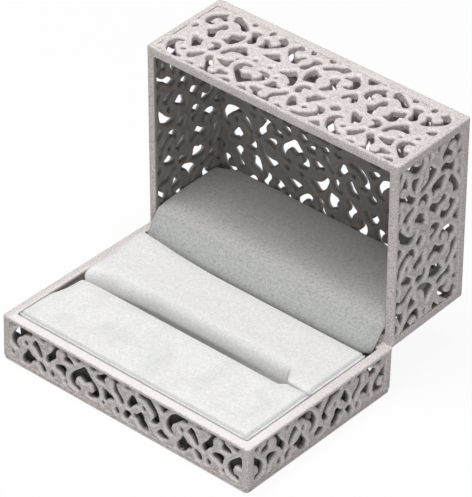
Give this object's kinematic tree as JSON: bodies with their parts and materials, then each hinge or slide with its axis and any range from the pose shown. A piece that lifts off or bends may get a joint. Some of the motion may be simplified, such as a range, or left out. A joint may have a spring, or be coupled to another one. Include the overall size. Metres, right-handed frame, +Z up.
{
  "type": "hinged ring box",
  "caption": "Openwork flocked ring box: shallow base with a slotted velvet ring pad, deep scrollwork lid on a rear hinge, and a velvet flap that folds behind the pad.",
  "frame": {"origin": "centre of the base's flat underside", "axes": "+Z up, -Y out of the base's front wall, +X to the right as seen from the front; the lid opens back over +Y"},
  "size_m": [0.085, 0.0873, 0.073],
  "materials": {
    "flock": "flocked, warm greige",
    "steel": "plain spring steel",
    "card": "grey board",
    "foam": "soft foam",
    "pad_velvet": "off-white velvet",
    "liner_velvet": "pale grey-green velvet"
  },
  "bodies": {
    "base": {"base_floor": "flock", "base_front_panel": "flock", "base_back_panel": "flock", "base_left_panel": "flock", "base_right_panel": "flock", "base_hinge_leaf": "steel", "base_hinge_rivets": "steel", "hinge_pin": "steel", "snap_spring": "steel", "insert_card": "card", "front_foam": "foam", "front_pad_cover": "pad_velvet", "rear_foam": "foam", "rear_pad_cover": "pad_velvet", "slot_foam": "foam", "slot_liner": "pad_velvet", "slot_gusset_left": "pad_velvet", "slot_gusset_right": "pad_velvet"},
    "lid": {"lid_front_panel": "flock", "lid_back_panel": "flock", "lid_left_panel": "flock", "lid_right_panel": "flock", "lid_top_panel": "flock", "lid_hinge_leaf": "steel", "lid_hinge_rivets": "steel", "liner_card": "card", "liner_velvet": "liner_velvet"},
    "flap": {"flap_card": "card", "flap_velvet": "liner_velvet"}
  },
  "joints": [
    {"name": "lid_hinge", "type": "hinge", "parent": "base", "child": "lid", "pos_m": [0, 0.0289, 0.01425], "axis": [1, 0, 0], "range_deg": [0, 88]},
    {"name": "flap_fold", "type": "hinge", "parent": "lid", "child": "flap", "pos_m": [0, 0.02816, 0.01973], "axis": [1, 0, 0], "range_deg": [-45, 0]}
  ],
  "couplings": [
    {"joint": "flap_fold", "follows": "lid_hinge", "ratio": -0.51136}
  ]
}
